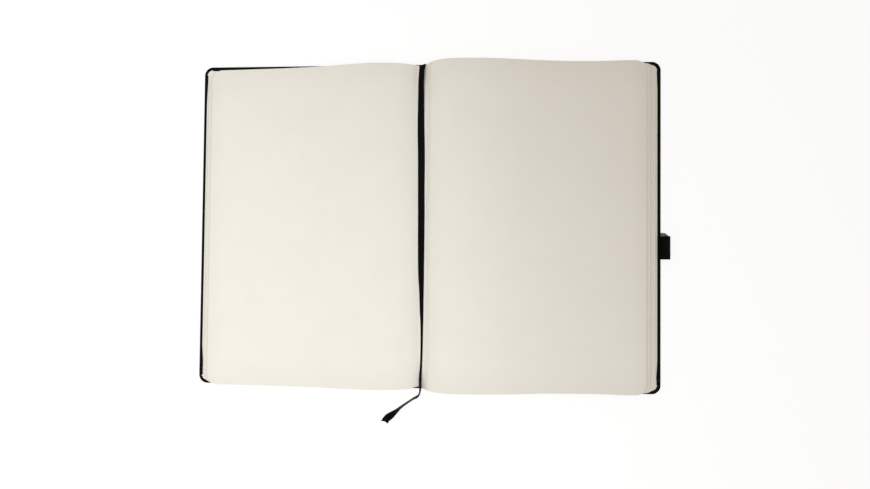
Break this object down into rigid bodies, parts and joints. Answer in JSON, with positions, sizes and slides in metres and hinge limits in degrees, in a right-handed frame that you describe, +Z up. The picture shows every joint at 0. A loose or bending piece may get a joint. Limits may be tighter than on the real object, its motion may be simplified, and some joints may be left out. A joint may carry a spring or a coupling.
{
  "type": "opened hardcover notebook",
  "caption": "Hardcover notebook lying open with blank cream pages in two stacks, a black ribbon marker in the gutter and an elastic pen loop on the back cover.",
  "frame": {"origin": "middle of the spine's underside, on the surface that the notebook lies on", "axes": "+X towards the back cover's outer edge, +Y towards the head of the pages, +Z up out of the open pages"},
  "size_m": [0.3043, 0.2349, 0.0207],
  "materials": {
    "covering": "matte imitation leather, fine grain",
    "board": "grey board",
    "endpaper": "smooth uncoated",
    "pages": "smooth uncoated cream",
    "lining": "open-weave cloth",
    "ribbon": "satin weave",
    "elastic": "matte woven elastic"
  },
  "bodies": {
    "back_cover": {"back_board": "board", "back_covering": "covering", "back_endpaper": "endpaper", "right_pages": "pages", "pen_loop": "elastic"},
    "spine": {"spine_board": "board", "spine_covering": "covering", "spine_lining": "lining", "ribbon_marker": "ribbon"},
    "front_cover": {"front_board": "board", "front_covering": "covering", "front_endpaper": "endpaper", "left_pages": "pages"}
  },
  "joints": [
    {"name": "back_hinge", "type": "hinge", "parent": "back_cover", "child": "spine", "pos_m": [0.012, 0, 0.0002], "axis": [0, 1, 0], "range_deg": [0, 90], "deforming": ["right_pages"]},
    {"name": "front_hinge", "type": "hinge", "parent": "spine", "child": "front_cover", "pos_m": [-0.012, 0, 0.0002], "axis": [0, 1, 0], "range_deg": [0, 90], "deforming": ["left_pages"]}
  ]
}
